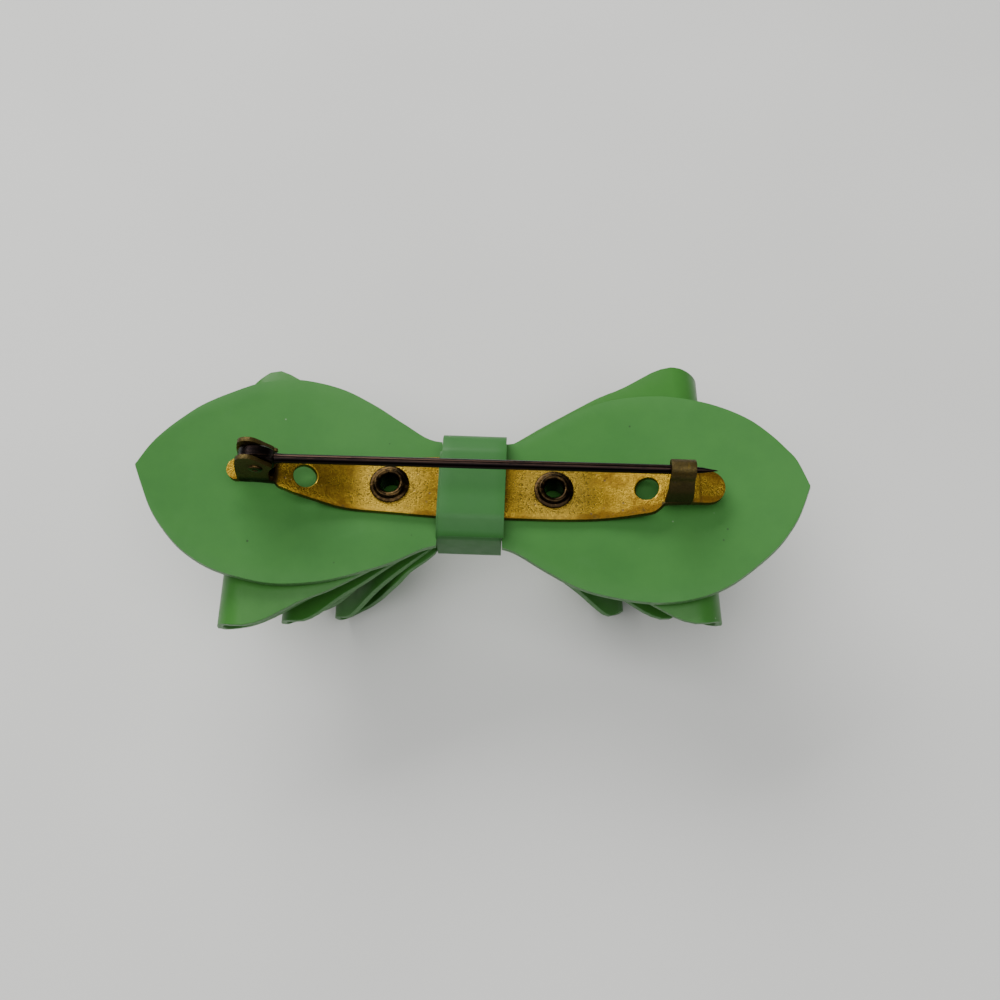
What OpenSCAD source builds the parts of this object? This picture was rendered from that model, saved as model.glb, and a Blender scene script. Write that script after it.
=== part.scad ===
// Layered ribbon bow brooch, lying on its front with its pin uppermost.
// +X runs along the bow, +Y across it, +Z from the front of the bow to its back.

/* [Leaf] */
// Length of the leaf from tip to tip
leaf_len = 50.6; // [48:0.2:54]
// Width of each lobe of the leaf
leaf_w = 17; // [15:0.2:19]
// Thickness of the leaf
leaf_t = 0.55; // [0.4:0.05:0.7]
// Height that the tips of the leaf curl up above its waist
leaf_curl = 2.2; // [1.4:0.1:3]

/* [Ribbons] */
// Thickness of the ribbon sheet
sheet_t = 0.45; // [0.35:0.05:0.55]
// Height of the underside of the leaf above the surface the bow lies on
waist_h = 12; // [11:0.1:14]
// Angle by which the loops left of the waist are turned
left_turn = 1.1; // [0:0.1:3]
// Angle by which the loops right of the waist are turned
right_turn = 3.6; // [0:0.1:5]
// Angle by which the sheets of a loop bulge apart
loop_bulge = 8; // [4:0.5:12]

/* [Outer ribbon] */
// Distance from the middle of the bow to the end of the outer loop
outer_reach = 18.8; // [18:0.1:19.6]
// Width of the outer loop
outer_w = 21.4; // [20:0.2:23.4]
// Diameter of the fold at the end of the outer loop
outer_fold_d = 4.7; // [4.2:0.1:5]
// Depth of the outer fold below the leaf
outer_drop = 2.5; // [2.4:0.1:2.8]
// Length by which the right outer loop is longer than the left one
outer_uneven = -0.3; // [-1:0.1:1]
// Distance by which the right outer loop bows sideways between waist and fold
outer_bow = 0.2; // [0:0.1:0.8]

/* [Middle ribbon] */
// Length by which the middle loop falls short of the outer loop
middle_step = 2.9; // [2.4:0.1:3.6]
// Width of the middle loop
middle_w = 18; // [16.4:0.2:19.4]
// Diameter of the fold at the end of the middle loop
middle_fold_d = 3.8; // [3.4:0.1:4.2]
// Depth of the middle fold below the leaf
middle_drop = 6.7; // [6.5:0.1:7]
// Length by which the right middle loop is longer than the left one
middle_uneven = 1.6; // [-1:0.1:2]

/* [Inner ribbon] */
// Length by which the inner loop falls short of the middle loop
inner_step = 4; // [3.3:0.1:4.7]
// Width of the inner loop
inner_w = 15; // [13.4:0.2:16.2]
// Diameter of the fold at the end of the inner loop
inner_fold_d = 3.1; // [2.8:0.1:3.4]
// Length by which the right inner loop is longer than the left one
inner_uneven = 0.8; // [-1:0.1:1]
// Distance by which the front sheets of the inner loops bow sideways, each to its own side
inner_skew = 0.6; // [0:0.1:1]

/* [Wrap band] */
// Width of the band along the bow
wrap_w = 4.9; // [4.4:0.1:5.8]
// Thickness of the band
wrap_t = 0.45; // [0.35:0.05:0.55]
// Width of the gathered layers inside the band
waist_w = 7.1; // [6.6:0.1:7.6]
// Clearance between neighbouring layers
layer_gap = 0.05; // [0.03:0.01:0.08]

/* [Pin bar] */
// Length of the bar from end to end
bar_len = 37.1; // [36.4:0.1:38]
// Width of the bar at its middle
bar_w = 4.9; // [4.4:0.1:5.4]
// Thickness of the bar
bar_t = 0.5; // [0.4:0.05:0.6]
// Height of the hinge end of the bar above its middle
hinge_rise = 2.1; // [1.8:0.05:2.3]
// Height of the catch end of the bar above its middle
catch_rise = 1.7; // [1.5:0.05:2]
// Distance from the middle of the bar at which it starts to rise
rise_from = 8.5; // [8:0.1:9.5]
// Distance of the middle of the bar from the middle of the bow
bar_shift = 0.35; // [-0.2:0.05:0.5]
// Distance between the open holes near the ends of the bar
spare_hole_spacing = 25.8; // [24:0.2:26.4]
// Diameter of the open holes
spare_hole_d = 1.8; // [1.4:0.1:2]

/* [Eyelets] */
// Distance between the eyelets
eyelet_spacing = 12.5; // [11.5:0.1:14]
// Outer diameter of the eyelet's barrel
barrel_d = 1.95; // [1.8:0.05:2.1]
// Diameter of the hole through the eyelet
eyelet_hole_d = 1.45; // [1.3:0.05:1.6]
// Diameter of the eyelet's flange
flange_d = 3; // [2.8:0.1:3.2]
// Height of the eyelet's rolled rim above the bar
rim_h = 0.5; // [0.4:0.05:0.6]

/* [Hinge] */
// Distance of the hinge rivet from the middle of the bow
hinge_x = 15.5; // [15.3:0.1:15.7]
// Height of the hinge rivet above the underside of the bar's end
pivot_h = 2.5; // [2.4:0.1:2.8]
// Height of the ears above the underside of the bar's end
ear_h = 4.2; // [4:0.1:4.6]
// Thickness of the ears and of the catch
ear_t = 0.33; // [0.28:0.01:0.4]
// Gap between the ears
ear_gap = 1.05; // [0.95:0.05:1.2]
// Diameter of the hinge rivet
rivet_d = 0.7; // [0.6:0.05:0.8]
// Running clearance in the hinge
hinge_play = 0.04; // [0.02:0.01:0.08]

/* [Pin] */
// Diameter of the pin
pin_d = 0.7; // [0.6:0.02:0.8]
// Diameter of the pin's round head
head_d = 2.8; // [2.4:0.1:3]
// Distance from the hinge rivet to the point of the pin
pin_len = 33.3; // [33:0.1:33.8]
// Length of the point
point_len = 1.1; // [0.8:0.1:1.3]
// Angle at which the closed pin rises towards the catch
pin_slope = 0.8; // [0:0.1:1.2]

/* [Catch] */
// Distance of the catch from the middle of the bow
catch_x = 15.3; // [15.1:0.1:15.5]
// Width of the catch along the bow
catch_w = 1.8; // [1.5:0.1:2]
// Gap between the pin and the hook of the catch
catch_gap = 0.08; // [0.05:0.01:0.15]

/* [Hidden] */

// Steps on each stretch of a drawn curve and on each half of a fold
curve_steps = 4;
fold_steps = 8;
sheet_steps = 10;
// Solids that are cut away reach this far past what they cut
past = 2;

leaf_green = [0.36, 0.58, 0.33];
ribbon_green = [0.30, 0.52, 0.27];
brass = [0.62, 0.50, 0.22];
dark_brass = [0.25, 0.20, 0.13];
dark_steel = [0.12, 0.10, 0.10];

// Outline of the lobes of the leaf: share of the half length, then for each lobe its half
// width and how far it drifts sideways, as shares of the leaf's half width
ALONG = 0;
LEFT_HALF = 1;
LEFT_DRIFT = 2;
RIGHT_HALF = 3;
RIGHT_DRIFT = 4;
LEAF_ROWS = [
    [0.00, 0.50, 0, 0.50, 0],
    [0.12, 0.515, -0.04, 0.515, -0.04],
    [0.22, 0.67, -0.03, 0.68, -0.04],
    [0.32, 0.82, 0.01, 0.855, -0.02],
    [0.43, 0.945, 0.04, 0.96, 0],
    [0.56, 1.00, 0.05, 1.00, 0],
    [0.67, 0.95, 0.04, 0.955, 0],
    [0.76, 0.845, 0.01, 0.855, 0.01],
    [0.84, 0.695, 0, 0.70, 0.03],
    [0.90, 0.515, 0, 0.535, 0.03],
    [0.94, 0.36, 0.01, 0.385, 0.035],
    [0.97, 0.20, 0.03, 0.24, 0.05],
    [1.00, 0.00, 0.03, 0.00, 0.045]];

// Half width of a loop along its back sheet and its front sheet, from the waist to the
// fold: share of the reach, share of the half width. A strip is widest at the top of its fold
// and narrows round it. Both sheets run straight over the last of the fold, where they meet
ACROSS = 1;
FOLD_ROWS = [
    [0.957, 0.94],
    [0.97, 0.94],
    [0.985, 0.94],
    [1.00, 0.94],
    [1.015, 0.94]];
LOOP_BACK_ROWS = concat([
    [0.00, 0.34],
    [0.14, 0.35],
    [0.30, 0.50],
    [0.45, 0.645],
    [0.55, 0.74],
    [0.65, 0.815],
    [0.73, 0.895],
    [0.80, 0.965],
    [0.86, 1.00],
    [0.90, 0.99],
    [0.935, 0.96]], FOLD_ROWS);
LOOP_FRONT_ROWS = concat([
    [0.00, 0.34],
    [0.14, 0.35],
    [0.40, 0.49],
    [0.60, 0.60],
    [0.75, 0.70],
    [0.865, 0.79],
    [0.90, 0.82],
    [0.93, 0.865]], FOLD_ROWS);
INNER_BACK_ROWS = concat([
    [0.00, 0.34],
    [0.14, 0.36],
    [0.30, 0.55],
    [0.45, 0.70],
    [0.57, 0.79],
    [0.69, 0.865],
    [0.80, 0.955],
    [0.86, 1.00],
    [0.90, 0.99],
    [0.935, 0.96]], FOLD_ROWS);
INNER_FRONT_ROWS = concat([
    [0.00, 0.34],
    [0.14, 0.36],
    [0.30, 0.56],
    [0.40, 0.67],
    [0.50, 0.73],
    [0.70, 0.735],
    [0.80, 0.75],
    [0.865, 0.79],
    [0.90, 0.82],
    [0.93, 0.865]], FOLD_ROWS);
// A sheet bows sideways from the waist up to this share of the reach
BOW_END = 0.93;

// Half width of the bar: share of the half length, share of the half width towards the
// hinge and towards the catch
HINGE_END = 1;
CATCH_END = 2;
BAR_ROWS = [
    [0.00, 1.00, 1.00],
    [0.15, 0.99, 0.98],
    [0.37, 0.90, 0.96],
    [0.54, 0.83, 0.89],
    [0.665, 0.68, 0.82],
    [0.725, 0.60, 0.76],
    [0.765, 0.52, 0.50],
    [0.80, 0.44, 0.45]];
// The round tab at each end: share of the bar's half width
hinge_tab_share = 0.36;
catch_tab_share = 0.53;

middle_reach = outer_reach - middle_step;
inner_reach = middle_reach - inner_step;

// Layers at the waist, counted down from the leaf
function layer_z(number) = waist_h - (number + 1) * layer_gap - (number + 0.5) * sheet_t;
root_x = wrap_w / 2 + 0.4;
root_lap = 0.6;
stack_bottom = waist_h - 6 * (layer_gap + sheet_t);
leaf_top = waist_h + leaf_t;
bar_bottom = leaf_top + layer_gap;
bar_top = bar_bottom + bar_t;

// Points and curves
function rotated(p, angle) = [p.x * cos(angle) - p.y * sin(angle), p.x * sin(angle) + p.y * cos(angle)];
function unit(v) = v / norm(v);
function spline_point(a, b, c, d, u) =
    0.5 * (2 * b + (c - a) * u + (2 * a - 5 * b + 4 * c - d) * u * u
        + (3 * b - a - 3 * c + d) * u * u * u);
function spline(points) =
    let (last = len(points) - 1)
    [for (i = [0:last - 1]) for (k = [0:curve_steps - 1])
        spline_point(points[max(i - 1, 0)], points[i], points[i + 1],
            points[min(i + 2, last)], k / curve_steps),
    points[last]];
function bezier(a, b, c, d, u) =
    a * pow(1 - u, 3) + 3 * b * u * pow(1 - u, 2) + 3 * c * u * u * (1 - u) + d * pow(u, 3);
function polar(centre, radius, angle) = centre + radius * [cos(angle), sin(angle)];
function arc(centre, radius, from, to, steps) =
    [for (k = [0:steps]) polar(centre, radius, from + (to - from) * k / steps)];
function reversed(points) = [for (i = [len(points) - 1:-1:0]) points[i]];
function flipped(points) = [for (p = points) [p.x, -p.y]];
function heading(points, i) =
    unit(points[min(i + 1, len(points) - 1)] - points[max(i - 1, 0)]);
// A sheet of a thickness on both sides of its middle line
function sheet_outline(line, thickness) =
    concat(
        [for (i = [0:len(line) - 1]) line[i] + rotated(heading(line, i), 90) * thickness / 2],
        reversed([for (i = [0:len(line) - 1]) line[i] - rotated(heading(line, i), 90) * thickness / 2]));
// Side line of a plan outline drawn from one column of its rows
function side_line(rows, reach, half, column = ACROSS) =
    spline([for (row = rows) [row[ALONG] * reach, row[column] * half]]);

// A profile drawn in X and Z, drawn out along Y to both sides
module drawn_out(half) {
    rotate([90, 0, 0])
        linear_extrude(height = 2 * half, center = true)
            children();
}

// A plan outline drawn in X and Y, standing through the whole height
module standing() {
    translate([0, 0, -past])
        linear_extrude(height = waist_h + leaf_curl + 2 * past + leaf_t)
            children();
}

// Leaf
function leaf_lift(x) =
    leaf_curl * pow(max(0, (abs(x) - leaf_flat_x) / (leaf_len / 2 - leaf_flat_x)), 2);
leaf_flat_x = 0.32 * leaf_len / 2;
leaf_steps = 14;

function tail(points) = [for (i = [1:len(points) - 1]) points[i]];
// One side of a lobe, from the waist to the tip
function lobe_side(hand, half, drift, way) =
    spline([for (row = LEAF_ROWS)
        [hand * row[ALONG] * leaf_len / 2, (row[drift] + way * row[half]) * leaf_w / 2]]);

module leaf_plan() {
    polygon(concat(
        tail(lobe_side(1, RIGHT_HALF, RIGHT_DRIFT, -1)),
        tail(reversed(lobe_side(1, RIGHT_HALF, RIGHT_DRIFT, 1))),
        tail(lobe_side(-1, LEFT_HALF, LEFT_DRIFT, 1)),
        tail(reversed(lobe_side(-1, LEFT_HALF, LEFT_DRIFT, -1)))));
}

module waist_notches() {
    for (side = [-1, 1])
        translate([-wrap_w / 2 - layer_gap, side > 0 ? waist_w / 2 : -waist_w / 2 - outer_w, -past])
            cube([wrap_w + 2 * layer_gap, outer_w, waist_h + leaf_curl + 3 * past]);
}

module eyelet_holes(from, to) {
    for (side = [-1, 1])
        translate([side * eyelet_spacing / 2, 0, from])
            cylinder(h = to - from, d = barrel_d + 2 * layer_gap, $fn = 48);
}

module back_leaf() {
    run = leaf_len / 2 + past;
    line = [for (k = [-leaf_steps:leaf_steps]) let (x = run * k / leaf_steps)
        [x, waist_h + leaf_t / 2 + leaf_lift(x)]];
    color(leaf_green)
        difference() {
            intersection() {
                drawn_out(leaf_w) polygon(sheet_outline(line, leaf_t));
                translate([0, 0, waist_h / 2]) standing() leaf_plan();
            }
            waist_notches();
            eyelet_holes(waist_h - past, leaf_top + past);
        }
}

// Ribbons: each is one strip, folded into a loop on both sides of the waist
function fold_centre(reach, drop, fold_d) = [reach - fold_d / 2, waist_h - drop];
function loop_slope(centre, root) = atan2(root.y - centre.y, centre.x - root.x);
// Line from the waist to the end of the fold, along the sheet that meets the fold at an angle
function loop_line(root, centre, radius, angle) =
    let (
        way = angle > 0 ? 1 : -1,
        meet = polar(centre, radius, angle),
        heading_in = way * [sin(angle), -cos(angle)],
        pull = norm(meet - root) * 0.36,
        run_in = [for (k = [0:sheet_steps - 1])
            bezier(root, root + [pull, 0], meet - pull * heading_in, meet, k / sheet_steps)]
    )
    concat([[wrap_w / 2 - root_lap, root.y]], run_in, arc(centre, radius, angle, 0, fold_steps));

module half_loop(rows, line, reach, width, bow) {
    side = side_line(rows, reach, width / 2);
    intersection() {
        drawn_out(width)
            polygon(sheet_outline(line, sheet_t));
        standing()
            polygon([for (p = concat(flipped(side), reversed(side)))
                [p.x, p.y + bow * sin(180 * min(1, p.x / reach / BOW_END))]]);
    }
}

module loop(number, reach, drop, fold_d, width, rows, bow, skew) {
    centre = fold_centre(reach, drop, fold_d);
    radius = (fold_d - sheet_t) / 2;
    front_root = [root_x, layer_z(2 * number + 1)];
    slope = loop_slope(centre, front_root);
    // The back sheet bends further out, so that it stays clear of the front sheet
    back_root = [root_x + (sheet_t + layer_gap) * tan(slope / 2) + layer_gap, layer_z(2 * number)];
    back_line = loop_line(back_root, centre, radius, 90 - slope + loop_bulge);
    front_line = loop_line(front_root, centre, radius, -90 - slope - loop_bulge);
    half_loop(rows[0], back_line, reach, width, bow);
    half_loop(rows[1], front_line, reach, width, bow + skew);
}

module ribbon(number, reach, uneven, drop, fold_d, width, rows, bow = 0, skew = 0) {
    difference() {
        union() {
            rotate([0, 0, right_turn])
                loop(number, reach + uneven / 2, drop, fold_d, width, rows, bow, skew);
            rotate([0, 0, left_turn])
                mirror([1, 0, 0])
                    loop(number, reach - uneven / 2, drop, fold_d, width, rows, 0, -skew);
            for (layer = [2 * number, 2 * number + 1])
                translate([0, 0, layer_z(layer)])
                    cube([wrap_w, waist_w, sheet_t], center = true);
        }
        waist_notches();
    }
}

module outer_ribbon() {
    color(ribbon_green)
        difference() {
            ribbon(0, outer_reach, outer_uneven, outer_drop, outer_fold_d, outer_w,
                [LOOP_BACK_ROWS, LOOP_FRONT_ROWS], bow = outer_bow);
            eyelet_holes(eyelet_foot - layer_gap, waist_h + past);
        }
}

module middle_ribbon() {
    color(ribbon_green)
        ribbon(1, middle_reach, middle_uneven, middle_drop, middle_fold_d, middle_w,
            [LOOP_BACK_ROWS, LOOP_FRONT_ROWS]);
}

module inner_ribbon() {
    color(ribbon_green)
        ribbon(2, inner_reach, inner_uneven, waist_h - inner_fold_d / 2, inner_fold_d, inner_w,
            [INNER_BACK_ROWS, INNER_FRONT_ROWS], skew = inner_skew);
}

// Wrap band: a strip round all the layers and the bar, with its outer end lapped over the back.
// It is bent tightly round the front layer, so that it stays clear of that layer's square edges
wrap_corner = 0.45;
foot_corner = 2 * layer_gap;
lap_shift = 0.2;
lap_lead = 1.4;
function corner_arc(before, at, after, radius, grown) =
    let (
        side_in = rotated(unit(at - before), -90),
        side_out = rotated(unit(after - at), -90),
        centre = at - (side_in + side_out) * radius / (1 + side_in * side_out),
        from = atan2(side_in.y, side_in.x),
        turn = acos(min(1, side_in * side_out))
    )
    arc(centre, radius + grown, from, from + turn, fold_steps);
function grown_section(grown) =
    let (n = len(wrap_section))
    [for (i = [0:n - 1]) each corner_arc(wrap_section[(i + n - 1) % n], wrap_section[i],
        wrap_section[(i + 1) % n], i < 2 ? foot_corner : wrap_corner, grown)];
wrap_section = [
    [-waist_w / 2 - layer_gap, stack_bottom - layer_gap],
    [waist_w / 2 + layer_gap, stack_bottom - layer_gap],
    [waist_w / 2 + layer_gap, leaf_top + 2 * layer_gap],
    [bar_w / 2 + layer_gap, bar_top + layer_gap],
    [-bar_w / 2 - layer_gap, bar_top + layer_gap],
    [-waist_w / 2 - layer_gap, leaf_top + 2 * layer_gap]];

module across(width) {
    rotate([90, 0, 90])
        linear_extrude(height = width, center = true)
            children();
}

module lap_section() {
    inside_y = waist_w / 2 + layer_gap;
    intersection() {
        difference() {
            polygon(grown_section(2 * wrap_t));
            polygon(grown_section(wrap_t / 2));
        }
        // The lap ends at one corner and thins out on the other
        polygon([
            [-inside_y - 1.1 * wrap_t, leaf_top],
            [inside_y + wrap_t, leaf_top + wrap_t],
            [inside_y, leaf_top + wrap_t + lap_lead],
            [-inside_y - 1.1 * wrap_t, leaf_top + wrap_t + 2 * lap_lead]]);
    }
}

module wrap_band() {
    color(leaf_green) {
        across(wrap_w)
            difference() {
                polygon(grown_section(wrap_t));
                polygon(grown_section(0));
            }
        translate([lap_shift, 0, 0])
            across(wrap_w)
                lap_section();
    }
}

// Pin bar: one strip of brass with its ends raised, ears bent up at one end, a hook at the other
function eased(u) = let (v = min(1, max(0, u))) v * v * (3 - 2 * v);
// The bar is level again a little past the hinge and past the catch
level_lead = 0.9;
function level_x(x) = (x < 0 ? hinge_x + bar_shift : catch_x - bar_shift + catch_w / 2) + level_lead;
function bar_lift(x) =
    (x < 0 ? hinge_rise : catch_rise)
        * eased((abs(x) - rise_from) / (level_x(x) - rise_from));
bar_steps = 24;
ear_half = ear_gap / 2 + ear_t;
hinge_end_bottom = bar_bottom + hinge_rise;
catch_end_bottom = bar_bottom + catch_rise;
pivot_z = hinge_end_bottom + pivot_h;
pin_catch_z = pivot_z + (hinge_x + catch_x) * tan(pin_slope);
hook_r = pin_d / 2 + catch_gap;
// The ears reach this far from the rivet towards the end of the bar and towards the catch,
// their upper corner further than their foot
ear_outer = 1.7;
ear_inner = 0.85;
ear_brow = 1.6;

module bar_half(column, tab_share, neck_half) {
    side = side_line(BAR_ROWS, bar_len / 2, bar_w / 2, column);
    tab_r = bar_w / 2 * tab_share;
    polygon(concat(flipped(side), reversed(side)));
    translate([0, -neck_half])
        square([bar_len / 2 - tab_r, 2 * neck_half]);
    translate([bar_len / 2 - tab_r, 0])
        circle(r = tab_r, $fn = 48);
}

module bar_plan() {
    mirror([1, 0])
        bar_half(HINGE_END, hinge_tab_share, ear_half);
    bar_half(CATCH_END, catch_tab_share, bar_w / 2 * catch_tab_share);
}

// An ear seen along the rivet: highest over its outer side, falling towards the pin.
// Each row is a distance from the rivet, away from the catch, and a share of the height
// from the rivet to the top of the ear
EAR_ROWS = [
    [-ear_brow, 0.12],
    [-0.75 * ear_brow, 0.30],
    [-0.30 * ear_brow, 0.72],
    [0.25 * ear_outer, 1.00],
    [0.60 * ear_outer, 0.98],
    [0.90 * ear_outer, 0.72],
    [ear_outer, 0.30]];
module ear_profile() {
    crown = ear_h - pivot_h;
    top = spline([for (row = EAR_ROWS) [-hinge_x - row[0], pivot_z + row[1] * crown]]);
    foot = hinge_end_bottom + bar_t / 2;
    polygon(concat(top, [[-hinge_x - ear_outer, foot], [-hinge_x + ear_inner, foot]]));
}

module ears() {
    for (side = [-1, 1])
        translate([0, side * (ear_gap + ear_t) / 2, 0])
            rotate([90, 0, 0])
                linear_extrude(height = ear_t, center = true)
                    ear_profile();
}

// The hook rises from one edge of the bar and curls over the pin, open to the other side
module hook_profile() {
    centre = [0, pin_catch_z];
    middle_r = hook_r + ear_t / 2;
    foot = [-bar_w / 2 * catch_tab_share + ear_t / 2, catch_end_bottom + bar_t / 2];
    knee = [foot.x, pin_catch_z - 2.6 * middle_r];
    line = concat(
        [foot, knee],
        [for (k = [1:sheet_steps - 1]) bezier(knee, knee + [0, 1.1 * middle_r],
            centre + middle_r * [-1, -1], centre - [middle_r, 0], k / sheet_steps)],
        arc(centre, middle_r, 180, -25, 2 * fold_steps));
    polygon(sheet_outline(line, ear_t));
}

module catch_hook() {
    translate([catch_x, 0, 0])
        across(catch_w)
            hook_profile();
}

module pin_bar() {
    line = [for (k = [-bar_steps:bar_steps]) let (x = bar_len / 2 * k / bar_steps)
        [x, bar_bottom + bar_t / 2 + bar_lift(x)]];
    color(brass)
        difference() {
            union() {
                translate([bar_shift, 0, 0])
                    intersection() {
                        drawn_out(bar_w) polygon(sheet_outline(line, bar_t));
                        translate([0, 0, waist_h]) linear_extrude(height = waist_h) bar_plan();
                    }
                ears();
                catch_hook();
            }
            eyelet_holes(waist_h, bar_top + past);
            for (side = [-1, 1])
                translate([bar_shift + side * spare_hole_spacing / 2, 0, waist_h])
                    cylinder(h = bar_t + hinge_rise + past, d = spare_hole_d, $fn = 48);
            translate([-hinge_x, 0, pivot_z])
                rotate([90, 0, 0])
                    cylinder(h = 2 * ear_half + past, d = rivet_d + 2 * layer_gap, center = true, $fn = 48);
        }
}

module hinge_rivet() {
    head_t = 0.12;
    head_r = 0.75 * rivet_d;
    half = ear_half + layer_gap / 2;
    color(dark_brass)
        translate([-hinge_x, 0, pivot_z])
            rotate([90, 0, 0]) {
                cylinder(h = 2 * half, d = rivet_d, center = true, $fn = 48);
                for (side = [0, 1])
                    mirror([0, 0, side])
                        translate([0, 0, half])
                            cylinder(h = head_t, r1 = head_r, r2 = 0.7 * head_r, $fn = 48);
            }
}

// Eyelets: tubes that hold the bar, the leaf and the outer ribbon together
flare_t = 0.15;
eyelet_foot = waist_h - 2 * layer_gap - sheet_t - flare_t;

module eyelet(side) {
    hole_r = eyelet_hole_d / 2;
    barrel_r = barrel_d / 2;
    rim_r = (barrel_r + flange_d / 2) / 2;
    flange_r = flange_d / 2;
    seat = bar_top + layer_gap / 2;
    color(dark_brass)
        translate([side * eyelet_spacing / 2, 0, 0])
            rotate_extrude($fn = 64)
                polygon(concat(
                    [[hole_r, eyelet_foot], [barrel_r, eyelet_foot + flare_t / 2],
                        [barrel_r, seat], [flange_r, seat], [flange_r, seat + 0.3 * rim_h]],
                    [[rim_r, seat + 0.45 * rim_h]],
                    arc([(hole_r + rim_r) / 2, bar_top + rim_h - (rim_r - hole_r) / 2],
                        (rim_r - hole_r) / 2, 0, 180, 6)));
}

module eyelet_left() {
    eyelet(-1);
}

module eyelet_right() {
    eyelet(1);
}

// Pin: a round head between the ears, a plain round stem and a ground point
module pin_stem() {
    head_t = ear_gap - 2 * hinge_play;
    swell_to = ear_brow + 0.4;
    taper_from = hinge_x + catch_x - catch_w / 2 - 0.6;
    taper_to = pin_len - point_len;
    taper_d = 0.9 * pin_d;
    color(dark_steel)
        translate([-hinge_x, 0, pivot_z])
            difference() {
                union() {
                    rotate([90, 0, 0])
                        cylinder(h = head_t, d = head_d, center = true, $fn = 64);
                    rotate([0, 90 - pin_slope, 0]) {
                        cylinder(h = swell_to, d1 = head_t, d2 = pin_d, $fn = 48);
                        translate([0, 0, swell_to])
                            cylinder(h = taper_from - swell_to, d = pin_d, $fn = 48);
                        translate([0, 0, taper_from])
                            cylinder(h = taper_to - taper_from, d1 = pin_d, d2 = taper_d, $fn = 48);
                        translate([0, 0, taper_to])
                            cylinder(h = point_len, d1 = taper_d, d2 = 0.1 * pin_d, $fn = 48);
                    }
                }
                rotate([90, 0, 0])
                    cylinder(h = ear_gap + past, d = rivet_d + 2 * hinge_play, center = true, $fn = 48);
            }
}

back_leaf();
outer_ribbon();
middle_ribbon();
inner_ribbon();
wrap_band();
pin_bar();
hinge_rivet();
eyelet_left();
eyelet_right();
pin_stem();
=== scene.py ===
"""Looks of the layered ribbon bow brooch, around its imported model."""
import math

import bmesh
import bpy
from mathutils import Matrix, Vector
from numpy import interp


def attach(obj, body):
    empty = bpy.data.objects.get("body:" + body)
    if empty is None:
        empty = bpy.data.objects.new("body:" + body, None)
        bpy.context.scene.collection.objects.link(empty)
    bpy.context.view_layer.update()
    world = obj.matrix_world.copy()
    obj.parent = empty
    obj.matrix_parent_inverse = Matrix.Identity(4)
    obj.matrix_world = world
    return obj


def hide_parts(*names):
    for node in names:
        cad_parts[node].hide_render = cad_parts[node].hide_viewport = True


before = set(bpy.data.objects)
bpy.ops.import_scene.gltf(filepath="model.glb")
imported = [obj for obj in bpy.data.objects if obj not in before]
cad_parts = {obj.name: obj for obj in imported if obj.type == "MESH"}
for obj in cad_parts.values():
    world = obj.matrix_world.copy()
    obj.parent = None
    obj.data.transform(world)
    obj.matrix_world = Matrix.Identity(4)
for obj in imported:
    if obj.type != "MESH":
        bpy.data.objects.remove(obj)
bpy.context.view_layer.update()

# Lengths are in millimetres up to settle(), which brings a finished piece to metres
MM = 0.001

# Sheets
LEAF_LEN, LEAF_W, LEAF_T, LEAF_CURL, LEAF_FLAT = 50.6, 17.0, 0.55, 2.2, 0.32
SHEET_T, LAYER_GAP = 0.45, 0.05
WAIST_H, WAIST_W = 12.0, 7.1
LEFT_TURN, RIGHT_TURN = math.radians(1.1), math.radians(3.6)
LOOP_BULGE, LOOP_PULL, LOOP_ROOT, WAIST_REACH = 8.0, 0.36, 0.4, 1.9
# Wrap, bar and pin
WRAP_W, WRAP_T, WRAP_CORNER, FOOT_CORNER = 4.9, 0.45, 0.45, 0.1
LAP_SHIFT, LAP_GAP, WRAP_SHIFT = 0.2, 0.02, -0.08
BAR_LEN, BAR_W, BAR_T, BAR_SHIFT = 37.1, 4.9, 0.5, 0.35
RISE_FROM, HINGE_RISE, CATCH_RISE, LEVEL_LEAD = 8.5, 2.1, 1.7, 0.9
SPARE_HOLE_SPACING, SPARE_HOLE_D = 25.8, 1.8
EYELET_X, BARREL_D, EYELET_HOLE_D, FLANGE_D, RIM_H = 6.25, 1.95, 1.45, 3.0, 0.5
HINGE_X, PIVOT_H, EAR_H, EAR_T, EAR_GAP, RIVET_D = 15.5, 2.5, 4.2, 0.33, 1.05, 0.7
EAR_FOOT_HALF, EAR_FOOT_SHIFT, STRIP_BEND = 1.27, 0.42, 0.3
STOP_LEN, STOP_R = 0.50, 0.20
PIN_D, HEAD_D, PIN_LEN, POINT_LEN, PIN_SLOPE = 0.7, 2.8, 33.3, 1.1, math.radians(0.8)
SWELL_FROM, SWELL_TO, HEAD_CHAMFER = 0.75, 2.0, 0.12
CATCH_X, CATCH_W, CATCH_GAP, CATCH_SPREAD, CATCH_LIP = 15.3, 1.8, 0.08, 0.14, -25
HINGE_PLAY = 0.04
# Rounding of the edges, and of the mouths of the holes
LEAF_EDGE, RIBBON_EDGE, WRAP_EDGE, BAR_EDGE, STRIP_EDGE = 0.09, 0.08, 0.06, 0.11, 0.07
EYELET_MOUTH, SPARE_MOUTH = 0.03, 0.07

LEAF_TOP = WAIST_H + LEAF_T
BAR_BOTTOM = LEAF_TOP + LAYER_GAP
BAR_TOP = BAR_BOTTOM + BAR_T
PIVOT_Z = BAR_BOTTOM + HINGE_RISE + PIVOT_H
PIN_CATCH_Z = PIVOT_Z + (HINGE_X + CATCH_X) * math.tan(PIN_SLOPE)
EAR_HALF = EAR_GAP / 2 + EAR_T

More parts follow.
